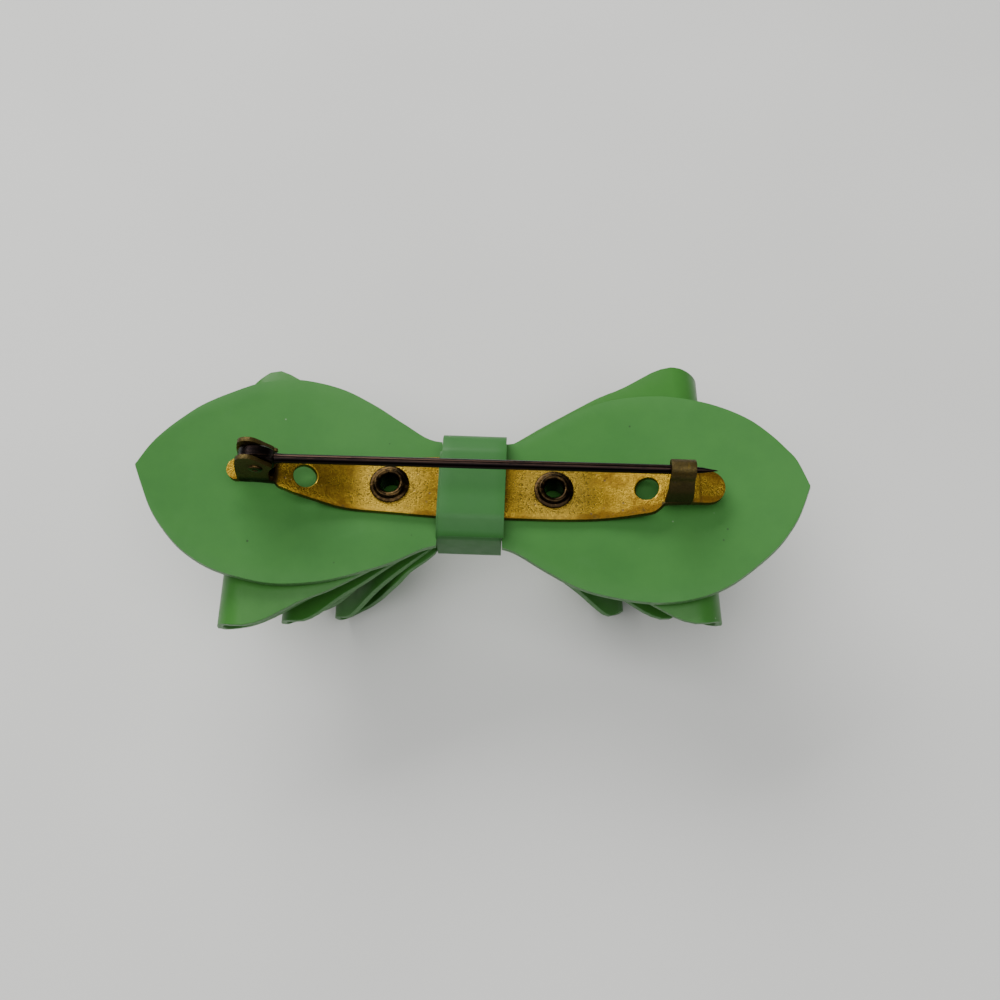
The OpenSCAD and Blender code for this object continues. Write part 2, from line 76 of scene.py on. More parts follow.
# Outline of the leaf: share of the half length, half width of the left lobe and its drift,
# half width of the right lobe and its drift, all as shares of the leaf's half width
LEAF_ROWS = [
    (0.00, 0.50, 0, 0.50, 0),
    (0.12, 0.515, -0.04, 0.515, -0.04),
    (0.22, 0.67, -0.03, 0.68, -0.04),
    (0.32, 0.82, 0.01, 0.855, -0.02),
    (0.43, 0.945, 0.04, 0.96, 0),
    (0.56, 1.00, 0.05, 1.00, 0),
    (0.67, 0.95, 0.04, 0.955, 0),
    (0.76, 0.845, 0.01, 0.855, 0.01),
    (0.84, 0.695, 0, 0.70, 0.03),
    (0.90, 0.515, 0, 0.535, 0.03),
    (0.94, 0.36, 0.01, 0.385, 0.035),
    (0.97, 0.20, 0.03, 0.24, 0.05),
    (1.00, 0.00, 0.03, 0.00, 0.045)]
# Half width along a loop's sheets: share of the reach, share of the ribbon's half width. The back
# sheets widen up to the top of the fold, each front sheet narrows on its own way to the waist
BACK_ROWS = [
    (0, 0.34), (0.14, 0.35), (0.30, 0.50), (0.45, 0.645), (0.55, 0.74), (0.65, 0.815),
    (0.73, 0.895), (0.80, 0.965)]
INNER_BACK_ROWS = [
    (0, 0.34), (0.14, 0.36), (0.30, 0.55), (0.45, 0.70), (0.57, 0.79), (0.69, 0.865),
    (0.80, 0.955)]
OUTER_LEFT_ROWS = [
    (0, 0.34), (0.14, 0.35), (0.35, 0.49), (0.43, 0.565), (0.50, 0.615), (0.575, 0.657),
    (0.65, 0.71), (0.726, 0.77), (0.805, 0.834), (0.861, 0.872), (0.89, 0.892), (0.919, 0.91),
    (0.944, 0.926), (0.965, 0.942), (0.98, 0.956), (1.005, 0.97)]
OUTER_RIGHT_ROWS = [
    (0, 0.34), (0.14, 0.35), (0.40, 0.49), (0.60, 0.60), (0.763, 0.74), (0.844, 0.80),
    (0.873, 0.826), (0.903, 0.857), (0.931, 0.89), (0.954, 0.917), (0.973, 0.936), (0.984, 0.95),
    (1.005, 0.962)]
MIDDLE_LEFT_ROWS = [
    (0, 0.34), (0.14, 0.35), (0.40, 0.50), (0.52, 0.59), (0.61, 0.675), (0.674, 0.735),
    (0.741, 0.784), (0.813, 0.808), (0.844, 0.824), (0.878, 0.85), (0.911, 0.88), (0.941, 0.912),
    (0.965, 0.938), (0.98, 0.962), (1.005, 0.975)]
MIDDLE_RIGHT_ROWS = [
    (0, 0.34), (0.14, 0.35), (0.40, 0.49), (0.60, 0.61), (0.70, 0.70), (0.797, 0.785),
    (0.849, 0.822), (0.878, 0.844), (0.908, 0.862), (0.936, 0.876), (0.96, 0.882), (0.98, 0.885),
    (1.005, 0.888)]
INNER_LEFT_ROWS = [
    (0, 0.34), (0.14, 0.36), (0.30, 0.54), (0.423, 0.632), (0.486, 0.70), (0.538, 0.728),
    (0.60, 0.738), (0.667, 0.735), (0.715, 0.738), (0.771, 0.755), (0.80, 0.772), (0.838, 0.806),
    (0.879, 0.856), (0.919, 0.905), (0.952, 0.94), (0.975, 0.953), (1.005, 0.958)]
INNER_RIGHT_ROWS = [
    (0, 0.34), (0.14, 0.36), (0.30, 0.56), (0.40, 0.66), (0.50, 0.71), (0.60, 0.72),
    (0.702, 0.734), (0.758, 0.77), (0.802, 0.795), (0.834, 0.822), (0.871, 0.862), (0.909, 0.886),
    (0.942, 0.892), (0.97, 0.892), (1.005, 0.89)]
# A sheet bows sideways from the waist up to this share of the reach
BOW_END = 0.93
# The far corner of a drawn in fold goes in over this stretch of shares
DRAW_FROM, DRAW_OVER = 0.825, 0.15
OUTER = {
    "layer": 0, "reach": 18.8, "uneven": -0.3, "width": 21.4, "fold_d": 4.7, "drop": 2.5,
    "back": BACK_ROWS, "fronts": (OUTER_LEFT_ROWS, OUTER_RIGHT_ROWS),
    "bow": 0.2, "skew": 0.0, "draw_in": 1.3}
MIDDLE = {
    "layer": 1, "reach": 15.9, "uneven": 1.6, "width": 18.0, "fold_d": 3.8, "drop": 6.7,
    "back": BACK_ROWS, "fronts": (MIDDLE_LEFT_ROWS, MIDDLE_RIGHT_ROWS),
    "bow": 0.0, "skew": 0.0, "draw_in": 0.0}
INNER = {
    "layer": 2, "reach": 11.9, "uneven": 0.8, "width": 15.0, "fold_d": 3.1, "drop": 10.45,
    "back": INNER_BACK_ROWS, "fronts": (INNER_LEFT_ROWS, INNER_RIGHT_ROWS),
    "bow": 0.0, "skew": 0.6, "draw_in": 0.0}
# Half width of the bar: share of the half length, towards the hinge, towards the catch
BAR_ROWS = [
    (0.00, 1.00, 1.00),
    (0.15, 0.99, 0.98),
    (0.37, 0.90, 0.96),
    (0.54, 0.83, 0.89),
    (0.665, 0.68, 0.82),
    (0.725, 0.60, 0.76),
    (0.765, 0.52, 0.50),
    (0.80, 0.44, 0.45)]
HINGE_TAB, CATCH_TAB = 0.36, 0.53
# An ear from its foot to its crown: share of its height, reach towards the end of the bar,
# reach towards the catch
EAR_ROWS = [
    (0.00, 1.80, 0.60),
    (0.30, 1.66, 0.72),
    (0.48, 1.56, 1.00),
    (0.56, 1.52, 1.20),
    (0.64, 1.47, 1.08),
    (0.74, 1.38, 0.76),
    (0.84, 1.28, 0.48),
    (0.92, 1.12, 0.22),
    (0.97, 0.90, 0.00),
    (0.995, 0.60, -0.18),
    (1.00, 0.44, -0.30)]


# Curves

def spline(rows, steps):
    """Rows of numbers, joined by a smooth curve through all of them."""
    last = len(rows) - 1
    curve = []
    for i in range(last):
        a, b, c, d = (rows[max(i - 1, 0)], rows[i], rows[i + 1], rows[min(i + 2, last)])
        for k in range(steps):
            u = k / steps
            curve.append(tuple(
                0.5 * (2 * q + (r - p) * u + (2 * p - 5 * q + 4 * r - s) * u * u
                       + (3 * q - p - 3 * r + s) * u ** 3)
                for p, q, r, s in zip(a, b, c, d)))
    return curve + [tuple(rows[last])]


def read_curve(curve, share, column=1):
    return float(interp(share, [row[0] for row in curve], [row[column] for row in curve]))


def eased(u):
    u = min(1.0, max(0.0, u))
    return u * u * (3 - 2 * u)


def bezier(a, b, c, d, u):
    return a * (1 - u) ** 3 + 3 * b * u * (1 - u) ** 2 + 3 * c * u * u * (1 - u) + d * u ** 3


def polar(centre, radius, degrees):
    angle = math.radians(degrees)
    return centre + radius * Vector((math.cos(angle), math.sin(angle)))


def arc(centre, radius, start, stop, steps):
    return [polar(centre, radius, start + (stop - start) * k / steps) for k in range(steps + 1)]


# Modelling

def start_piece(name):
    piece = bpy.context.object
    piece.name = name
    bpy.ops.object.mode_set(mode="EDIT")
    bpy.ops.mesh.select_mode(type="VERT")
    return piece


def select_verts(piece, wanted):
    mesh = bmesh.from_edit_mesh(piece.data)
    mesh.verts.ensure_lookup_table()
    for vert in mesh.verts:
        vert.select = False
    for index in wanted:
        mesh.verts[index].select = True
    mesh.select_flush_mode()
    bmesh.update_edit_mesh(piece.data)


def laid_sheet(name, stations, cuts, closed=False):
    """A sheet laid along its stations. Each gives the place along the run, the height, the half
    width, the sideways shift and the angle by which it is turned about the middle of the bow."""
    bpy.ops.object.select_all(action="DESELECT")
    bpy.ops.mesh.primitive_grid_add(x_subdivisions=len(stations) - 1, y_subdivisions=cuts, size=2)
    piece = start_piece(name)
    mesh = bmesh.from_edit_mesh(piece.data)
    order = sorted((vert.co.x, vert.index) for vert in mesh.verts)
    per_column = cuts + 1
    for i, (run, height, half, shift, turn) in enumerate(stations):
        column = order[i * per_column:(i + 1) * per_column]
        select_verts(piece, [index for _, index in column])
        bpy.ops.transform.resize(value=(1, half, 1), center_override=(column[0][0], 0, 0))
        bpy.ops.transform.translate(value=(run - column[0][0], shift, height))
        if turn:
            # With no window the operator turns the other way
            bpy.ops.transform.rotate(value=-turn, orient_axis="Z", center_override=(0, 0, 0))
    bpy.ops.mesh.select_all(action="SELECT")
    bpy.ops.mesh.remove_doubles(threshold=0.002)
    if closed:
        bpy.ops.mesh.normals_make_consistent(inside=False)
    bpy.ops.object.mode_set(mode="OBJECT")
    return piece


def turn_piece(piece, x=0.0, y=0.0, z=0.0):
    piece.rotation_euler = (x, y, z)
    bpy.ops.object.transform_apply(location=False, rotation=True, scale=False)


def move_piece(piece, x=0.0, y=0.0, z=0.0):
    piece.location = (x, y, z)
    bpy.ops.object.transform_apply(location=True, rotation=False, scale=False)


def use(piece, kind, **settings):
    """Adds a modifier and applies it."""
    modifier = piece.modifiers.new(kind.lower(), kind)
    for key, value in settings.items():
        setattr(modifier, key, value)
    bpy.ops.object.select_all(action="DESELECT")
    piece.select_set(True)
    bpy.context.view_layer.objects.active = piece
    bpy.ops.object.modifier_apply(modifier=modifier.name)


def thicken(piece, thickness, rounding, segments=3):
    use(piece, "SOLIDIFY", thickness=thickness, offset=0.0, use_even_offset=True,
        material_offset_rim=1)
    use(piece, "BEVEL", width=rounding, segments=segments, limit_method="ANGLE",
        angle_limit=math.radians(50), use_clamp_overlap=True)


def turned(name, rings, sides=64, closed=False):
    """A turned shape: rings of radius and height, each drawn out of the one before."""
    bpy.ops.object.select_all(action="DESELECT")
    first_r, first_z = rings[0]
    bpy.ops.mesh.primitive_circle_add(vertices=sides, radius=first_r, location=(0, 0, first_z))
    bpy.ops.object.transform_apply(location=True, rotation=False, scale=False)
    piece = start_piece(name)
    for (radius, height), (next_r, next_z) in zip(rings, rings[1:]):
        bpy.ops.mesh.extrude_region_move(TRANSFORM_OT_translate={"value": (0, 0, next_z - height)})
        scale = next_r / radius
        bpy.ops.transform.resize(value=(scale, scale, 1), center_override=(0, 0, next_z))
    bpy.ops.mesh.select_all(action="SELECT")
    bpy.ops.mesh.remove_doubles(threshold=0.0005)
    if not closed:
        bpy.ops.mesh.fill_holes(sides=0)
    bpy.ops.mesh.normals_make_consistent(inside=False)
    bpy.ops.object.mode_set(mode="OBJECT")
    return piece


def cut_holes(piece, places, depth, diameter, flare):
    """Drills round holes square to a sheet, their mouths a little rounded over. A place is the
    middle of the hole and the slope of the sheet there."""
    radius, half = diameter / 2, depth / 2
    mouth = [(radius + 2 * flare, half + flare), (radius + flare, half),
             (radius + 0.3 * flare, half - 0.3 * flare), (radius, half - flare)]
    for x, y, z, slope in places:
        drill = turned("drill", [(r, -h) for r, h in mouth] + mouth[::-1])
        turn_piece(drill, y=-math.atan(slope))
        move_piece(drill, x, y, z)
        use(piece, "BOOLEAN", operation="DIFFERENCE", object=drill, solver="EXACT")
        bpy.data.objects.remove(drill, do_unlink=True)


def join(piece, *others):
    bpy.ops.object.select_all(action="DESELECT")
    for other in others:
        other.select_set(True)
    piece.select_set(True)
    bpy.context.view_layer.objects.active = piece
    bpy.ops.object.join()
    return piece


def settle(piece, node, body="root", sharp=35):
    """Brings a finished piece to metres and puts it in the place of its node."""
    bpy.ops.object.select_all(action="DESELECT")
    piece.select_set(True)
    bpy.context.view_layer.objects.active = piece
    piece.scale = (MM, MM, MM)
    bpy.ops.object.transform_apply(location=False, rotation=False, scale=True)
    bpy.ops.object.shade_smooth_by_angle(angle=math.radians(sharp))
    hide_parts(node)
    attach(piece, body)
    return piece


# Finishes

class Field:
    """A shader socket that takes part in Python sums."""

    def __init__(self, finish, socket):
        self.finish, self.socket = finish, socket

    def _math(self, operation, first, second):
        return self.finish.node("ShaderNodeMath", {"operation": operation}, {0: first, 1: second})

    def __add__(self, other): return self._math("ADD", self, other)
    def __radd__(self, other): return self._math("ADD", other, self)
    def __sub__(self, other): return self._math("SUBTRACT", self, other)
    def __rsub__(self, other): return self._math("SUBTRACT", other, self)
    def __mul__(self, other): return self._math("MULTIPLY", self, other)
    def __rmul__(self, other): return self._math("MULTIPLY", other, self)
    def __pow__(self, other): return self._math("POWER", self, other)
    def __abs__(self): return self._math("ABSOLUTE", self, 0.0)

    def ramp(self, low, high):
        """0 up to low, 1 from high on, smooth between them. It falls where high is the smaller."""
        return self.finish.node(
            "ShaderNodeMapRange", {"interpolation_type": "SMOOTHSTEP"},
            {"Value": self, "From Min": min(low, high), "From Max": max(low, high),
             "To Min": 0.0 if low < high else 1.0, "To Max": 1.0 if low < high else 0.0})

    def most(self, other): return self._math("MAXIMUM", self, other)


class Finish:
    """One material. Its patterns are measured in millimetres on the piece."""

    def __init__(self, name):
        self.material = bpy.data.materials.new(name)
        self.material.use_nodes = True
        self.tree = self.material.node_tree
        self.shader = self.tree.nodes["Principled BSDF"]
        place = self.node("ShaderNodeTexCoord", {}, {}, "Object")
        self.place = self.node("ShaderNodeVectorMath", {"operation": "SCALE"},
                               {0: place, "Scale": 1 / MM}, "Vector")
        self.x, self.y, self.z = (self.node("ShaderNodeSeparateXYZ", {}, {0: self.place}, axis)
                                  for axis in "XYZ")

    def node(self, kind, settings, sockets, output=0):
        made = self.tree.nodes.new(kind)
        for key, value in settings.items():
            setattr(made, key, value)
        for key, value in sockets.items():
            self.put(made.inputs[key], value)
        return Field(self, made.outputs[output])

    def put(self, socket, value):
        if isinstance(value, Field):
            self.tree.links.new(value.socket, socket)
        else:
            socket.default_value = value

    def noise(self, per_mm, detail=3.0, rough=0.55, stretch=(1, 1, 1), distortion=0.0):
        place = self.node("ShaderNodeMapping", {}, {"Vector": self.place, "Scale": stretch})
        return self.node("ShaderNodeTexNoise", {"noise_dimensions": "3D"},
                         {"Vector": place, "Scale": per_mm, "Detail": detail, "Roughness": rough,
                          "Distortion": distortion})

    def specks(self, per_mm, size, stretch=(1, 1, 1)):
        """1 inside small scattered dots, 0 outside."""
        place = self.node("ShaderNodeMapping", {}, {"Vector": self.place, "Scale": stretch})
        cell = self.node("ShaderNodeTexVoronoi", {"feature": "F1"},
                         {"Vector": place, "Scale": per_mm, "Randomness": 1.0}, "Distance")
        return cell.ramp(size, 0.35 * size)

    def mix(self, amount, low, high):
        """Colours only: low where amount is 0, high where it is 1."""
        made = self.tree.nodes.new("ShaderNodeMix")
        made.data_type = "RGBA"
        self.put(made.inputs[0], amount)
        for socket, value in ((made.inputs[6], low), (made.inputs[7], high)):
            self.put(socket, value if isinstance(value, Field) else (*value, 1.0))
        return Field(self, made.outputs[2])

    def set(self, **values):
        for key, value in values.items():
            self.put(self.shader.inputs[key.replace("_", " ")], value)

    def bump(self, height, strength, distance_mm):
        self.set(Normal=self.node("ShaderNodeBump", {}, {
            "Height": height, "Strength": strength, "Distance": distance_mm * MM}))


DARK_SPECK, PALE_SPECK = (0.015, 0.025, 0.01), (0.36, 0.46, 0.32)


def sheet_finish(name, base, shade, worn, roughness, gloss):
    """Opaque plastic sheet: cloudy colour, rubbed patches, hair scratches and a few specks."""
    finish = Finish(name)
    cloud = finish.noise(0.16, 4, 0.6).ramp(0.35, 0.65)
    mottle = finish.noise(0.9, 5, 0.65).ramp(0.3, 0.7)
    grime = finish.noise(0.45, 6, 0.7, distortion=0.6).ramp(0.56, 0.78)
    dots = finish.specks(0.55, 0.065) * finish.noise(0.3, 2).ramp(0.46, 0.55)
    pale_dots = finish.specks(0.6, 0.06) * finish.noise(0.37, 2).ramp(0.56, 0.63)
    colour = finish.mix(cloud * 0.55 + mottle * 0.25, base, shade)
    colour = finish.mix(grime * 0.35, colour, worn)
    colour = finish.mix(dots * 0.75, colour, DARK_SPECK)
    colour = finish.mix(pale_dots * 0.35, colour, PALE_SPECK)
    long_scratch = finish.noise(1.0, 2, 0.5, (0.25, 9.0, 1.0), 0.25).ramp(0.66, 0.72)
    cross_scratch = finish.noise(1.0, 2, 0.5, (7.0, 0.3, 1.0), 0.4).ramp(0.69, 0.74)
    scratches = long_scratch * 0.6 + cross_scratch * 0.4
    finish.set(Base_Color=colour,
               Roughness=roughness + mottle * 0.07 + grime * 0.10 + scratches * 0.10,
               Specular_IOR_Level=gloss)
    skin = finish.noise(0.55, 2, 0.4) + finish.noise(3.5, 3, 0.5) * 0.10
    finish.bump(skin - scratches * 0.10 - dots * 0.5, 0.35, 0.05)
    return finish.material


def cut_edge_finish(name, base, shade):
    """The sawn edge of the sheet: paler and rougher than its faces, with fine file marks."""
    finish = Finish(name)
    marks = finish.noise(1.0, 3, 0.6, (3.0, 3.0, 16.0)).ramp(0.3, 0.7)
    finish.set(Base_Color=finish.mix(marks, base, shade), Roughness=0.42 + marks * 0.18,
               Specular_IOR_Level=0.5)
    finish.bump(marks, 0.4, 0.02)
    return finish.material


# Pits in the brass: place and radius
PITS = [(-13.85, -0.42, 0.10), (-13.45, -0.50, 0.07), (11.45, -1.02, 0.09)]
# A soft crease across the tab beyond the catch
CREASE_X = 17.08
BRASS, BROWN_STAIN, BROWN_GRAIN = (0.30, 0.19, 0.017), (0.13, 0.070, 0.007), (0.085, 0.048, 0.006)
# Bright brass for the painted highlight round the eyelets, and olive for patina together with
# painted shade
HIGHLIGHT_BRASS, OLIVE_PATINA_AND_SHADE = (0.46, 0.31, 0.045), (0.034, 0.025, 0.005)
# Near black for the painted shadow in the neck beside the ears, and brown for the pits
NECK_SHADOW_BLACK, PIT_BROWN = (0.010, 0.005, 0.002), (0.03, 0.015, 0.006)


def brass_finish(name):
    """Old stamped brass: a painted highlight round the eyelets, brown along its edges, olive patina
    in patches and painted olive shade on the ears and down the side of the catch, a painted near
    black shadow in the neck beside the ears."""
    finish = Finish(name)
    fine = finish.noise(2.6, 6, 0.72)
    broad = finish.noise(0.55, 5, 0.65, distortion=0.5)
    grain = finish.noise(7.0, 3, 0.6).ramp(0.42, 0.62)
    from_eyelet = ((abs(finish.x) - EYELET_X) ** 2 + finish.y ** 2) ** 0.5
    # Painted highlight: the brass is brighter towards the eyelets
    eyelet_highlight = from_eyelet.ramp(3.6, 1.6)
    # The bar narrows towards its ends, and the brown follows its outline
    edge = (abs(finish.y) + finish.x ** 2 * 0.0045 + broad * 0.5).ramp(2.25, 2.75)
    over_bar = finish.z - BAR_TOP
    # Painted shade: the ears and the curl of the catch, high over the bar, are darkened olive
    raised_shade = over_bar.ramp(1.9, 2.9)
    # Painted shade over the ears
    ear_shade = (abs(finish.x + 15.75) + fine * 0.5).ramp(1.9, 1.4) * over_bar.ramp(0.9, 1.6)
    # Painted shadow, near black, in the neck at the feet of the ears
    neck = ear_shade * over_bar.ramp(2.6, 2.2)
    # Painted shade down the near side of the catch
    catch_side_shade = abs(finish.x - CATCH_X).ramp(1.12, 1.0) * finish.y.ramp(-1.05, -1.2)
    stain = (broad * 0.6 + fine * 0.55 + edge * 0.28 - eyelet_highlight * 0.16).ramp(0.50, 0.74)
    # Olive patina in random patches and along the edges, plus painted shade on the ears and the
    # catch
    patina_and_shade = (fine * 0.8 + broad * 0.35 + raised_shade.most(ear_shade).most(catch_side_shade) * 0.50
            + edge * 0.20).ramp(0.76, 1.0)
    pits = finish.specks(1.5, 0.17) * finish.noise(0.8, 2).ramp(0.45, 0.6)
    for x, y, radius in PITS:
        away = ((finish.x - x) ** 2 + (finish.y - y) ** 2) ** 0.5
        pits = pits.most(away.ramp(radius, 0.5 * radius))
    crease = abs(finish.x - CREASE_X).ramp(0.16, 0.03) * (fine + 0.1).ramp(0.3, 0.6)
    colour = finish.mix(stain, BRASS, BROWN_STAIN)
    colour = finish.mix(grain * 0.60, colour, BROWN_GRAIN)
    colour = finish.mix(eyelet_highlight * 0.45, colour, HIGHLIGHT_BRASS)
    # Olive patina, and the painted shade on the ears and the catch
    colour = finish.mix(patina_and_shade * 0.9, colour, OLIVE_PATINA_AND_SHADE)
    # Painted near black shadow in the neck beside the ears
    colour = finish.mix(neck * 0.85, colour, NECK_SHADOW_BLACK)
    colour = finish.mix((pits * 0.85).most(crease * 0.35), colour, PIT_BROWN)
    finish.set(Base_Color=colour, Metallic=1.0 - patina_and_shade * 0.25 * (1 - neck) - pits * 0.6,
               Roughness=0.26 + stain * 0.12 + patina_and_shade * 0.16 + grain * 0.10)
    finish.bump(fine * 0.5 + broad * 0.9 + grain * 0.3 - pits * 0.8 - crease * 0.4, 0.45, 0.05)
    return finish.material


def dark_metal_finish(name, base, rubbed, roughness):
    """Blackened metal, rubbed through a little on its high places."""
    finish = Finish(name)
    fine = finish.noise(3.0, 5, 0.65)
    worn = (fine * 0.6 + finish.noise(0.8, 4, 0.6) * 0.5).ramp(0.5, 0.72)
    finish.set(Base_Color=finish.mix(worn, base, rubbed), Metallic=1.0,
               Roughness=roughness + worn * 0.12)
    finish.bump(fine, 0.3, 0.03)
    return finish.material


WIRE_BLACK, WIRE_BROWN = (0.008, 0.006, 0.006), (0.020, 0.012, 0.010)
# Red brown of the painted highlight lines on the wire
WIRE_HIGHLIGHT = (0.050, 0.028, 0.020)


def pin_finish(name):
    """Blackened wire, drawn out in lines, with two painted red brown highlight lines along its
    upper side.
    """
    finish = Finish(name)
    lines = finish.noise(1.0, 3, 0.6, (0.18, 6.0, 6.0))
    fine = finish.noise(2.5, 4, 0.65, (0.5, 1.0, 1.0))
    height = finish.z - PIVOT_Z - (finish.x + HINGE_X) * math.tan(PIN_SLOPE)
    over = finish.y * 0.92 + height * 0.38
    # Two painted highlight lines along the upper side of the wire, red brown, broken up by the
    # drawn lines
    upper = abs(over - 0.22).ramp(0.06, 0.02) * 0.8
    lower = abs(over - 0.06).ramp(0.05, 0.015) * 0.5
    rubbed = (upper + lower) * (fine + lines).ramp(0.75, 1.1)
    colour = finish.mix(lines.ramp(0.4, 0.7) * 0.5, WIRE_BLACK, WIRE_BROWN)
    finish.set(Base_Color=finish.mix(rubbed, colour, WIRE_HIGHLIGHT), Metallic=1.0,
               Roughness=0.26 + lines * 0.1)
    finish.bump(lines + fine * 0.3, 0.25, 0.03)
    return finish.material


def floor_finish(name):
    finish = Finish(name)
    tone = finish.noise(0.02, 2).ramp(0.3, 0.7)
    finish.set(Base_Color=finish.mix(tone, (0.62, 0.62, 0.60), (0.66, 0.66, 0.64)), Roughness=0.85)
    return finish.material


leaf_green = sheet_finish(
    "leaf_green", (0.040, 0.165, 0.028), (0.032, 0.142, 0.024), (0.050, 0.175, 0.042), 0.44, 0.20)
ribbon_green = sheet_finish(
    "ribbon_green", (0.044, 0.165, 0.029), (0.034, 0.138, 0.022), (0.054, 0.175, 0.042), 0.30, 0.16)
wrap_green = sheet_finish(
    "wrap_green", (0.032, 0.135, 0.028), (0.026, 0.118, 0.024), (0.044, 0.145, 0.040), 0.42, 0.22)
cut_green = cut_edge_finish("cut_green", (0.072, 0.20, 0.055), (0.045, 0.15, 0.035))
old_brass = brass_finish("old_brass")
black_brass = dark_metal_finish("black_brass", (0.016, 0.010, 0.005), (0.080, 0.048, 0.017), 0.22)
black_steel = pin_finish("black_steel")


def eyelet_places(height):
    """The two eyelets' places in a sheet whose middle is at this height."""
    return [(side * EYELET_X, 0, height, 0) for side in (-1, 1)]


# Leaf

def leaf_lift(x):
    flat = LEAF_FLAT * LEAF_LEN / 2
    return LEAF_CURL * max(0.0, (abs(x) - flat) / (LEAF_LEN / 2 - flat)) ** 2


def leaf_sheet():
    curve = spline(LEAF_ROWS, 6)
    middle = WAIST_H + LEAF_T / 2
    inside = [-WRAP_W / 2 + 0.02 + k * (WRAP_W - 0.04) / 4 for k in range(5)]
    stations = []
    for hand, half_column, drift_column in ((-1, 1, 2), (1, 3, 4)):
        lobe = [(hand * row[0] * LEAF_LEN / 2, row[half_column], row[drift_column])
                for row in curve if row[0] * LEAF_LEN / 2 > WRAP_W / 2 + 0.05]
        # Just outside the wrap the leaf is at its narrowest
        root = (hand * (WRAP_W / 2 + 0.03),
                read_curve(curve, 0.1, half_column), read_curve(curve, 0.1, drift_column))
        for x, half, drift in [root] + lobe:
            stations.append((x, middle + leaf_lift(x), max(half, 0.002) * LEAF_W / 2,
                             drift * LEAF_W / 2, 0))
    stations += [(x, middle, WAIST_W / 2 - 0.02, 0, 0) for x in inside]
    piece = laid_sheet("leaf_sheet", sorted(stations), 12)
    piece.data.materials.append(leaf_green)
    piece.data.materials.append(cut_green)
    thicken(piece, LEAF_T, LEAF_EDGE)
    cut_holes(piece, eyelet_places(middle), LEAF_T, BARREL_D + 2 * LAYER_GAP, EYELET_MOUTH)
    return settle(piece, "back_leaf")


# Ribbons

def layer_z(number):
    return WAIST_H - (number + 1) * LAYER_GAP - (number + 0.5) * SHEET_T


def loop_line(root, centre, radius, angle):
    """From the waist to the end of the fold, meeting the fold at an angle."""
    way = 1 if angle > 0 else -1
    meet = polar(centre, radius, angle)
    inwards = way * Vector((math.sin(math.radians(angle)), -math.cos(math.radians(angle))))
    pull = (meet - root).length * LOOP_PULL
    steps = 18
    run_in = [bezier(root, root + Vector((pull, 0)), meet - pull * inwards, meet, k / steps)
              for k in range(steps)]
    return run_in + arc(centre, radius, angle, 0, 14)


def fold_rows(end):
    """The last rows of a back sheet, from the top of the fold to where the front sheet begins."""
    return [(share, 1 - (1 - end) * eased((share - 0.90) / 0.10))
            for share in (0.86, 0.90, 0.92, 0.94, 0.955, 0.97, 0.985, 1.005)]


def loop_stations(ribbon, hand):
    """Stations of one loop, from the waist's back layer round the fold to its front layer."""
    reach = ribbon["reach"] + hand * ribbon["uneven"] / 2
    centre = Vector((reach - ribbon["fold_d"] / 2, WAIST_H - ribbon["drop"]))
    radius = (ribbon["fold_d"] - SHEET_T) / 2
    root_x = WRAP_W / 2 + LOOP_ROOT
    front_root = Vector((root_x, layer_z(2 * ribbon["layer"] + 1)))
    slope = math.degrees(math.atan2(front_root.y - centre.y, centre.x - root_x))
    lead = (SHEET_T + LAYER_GAP) * math.tan(math.radians(slope / 2)) + LAYER_GAP
    back_root = Vector((root_x + lead, layer_z(2 * ribbon["layer"])))
    back = loop_line(back_root, centre, radius, 90 - slope + LOOP_BULGE)
    front = loop_line(front_root, centre, radius, -90 - slope - LOOP_BULGE)
    bow = ribbon["bow"] if hand > 0 else 0
    turn = RIGHT_TURN if hand > 0 else LEFT_TURN
    front_rows = ribbon["fronts"][hand > 0]
    back_rows = ribbon["back"] + fold_rows(front_rows[-1][1])
    # The far corner of the left fold is drawn in a little
    draw_in = 0 if hand > 0 else ribbon["draw_in"]
    stations = []
    for rows, line, sideways in ((back_rows, back, bow),
                                 (front_rows, front[-2::-1], bow + hand * ribbon["skew"])):
        curve = spline(rows, 6)
        for point in line:
            share = point.x / reach
            drawn = draw_in * eased((share - DRAW_FROM) / DRAW_OVER) / 2
            half = read_curve(curve, share) * ribbon["width"] / 2 - drawn
            shift = sideways * math.sin(math.pi * min(1, share / BOW_END)) - drawn
            stations.append((hand * point.x, point.y, half, shift, turn))
    return stations


def waist_stations(number, ribbon, way):
    half = min(0.34 * ribbon["width"] / 2, WAIST_W / 2 - 0.03)
    return [(way * x, layer_z(number), half, 0, 0) for x in (-WAIST_REACH, 0, WAIST_REACH)]


def ribbon_sheet(ribbon, name, node):
    """One strip: from the waist round the right loop, across the waist, round the left loop."""
    right, left = loop_stations(ribbon, 1), loop_stations(ribbon, -1)
    back, front = 2 * ribbon["layer"], 2 * ribbon["layer"] + 1
    stations = (waist_stations(back, ribbon, 1)[1:] + right + waist_stations(front, ribbon, -1)
                + left[::-1] + waist_stations(back, ribbon, 1)[:2])
    piece = laid_sheet(name, stations, 8, closed=True)
    piece.data.materials.append(ribbon_green)
    piece.data.materials.append(cut_green)
    thicken(piece, SHEET_T, RIBBON_EDGE)
    if ribbon is OUTER:
        cut_holes(piece, eyelet_places(WAIST_H - SHEET_T / 3), 2 * SHEET_T,
                  BARREL_D + 2 * LAYER_GAP, EYELET_MOUTH)
    return settle(piece, node)


# Wrap

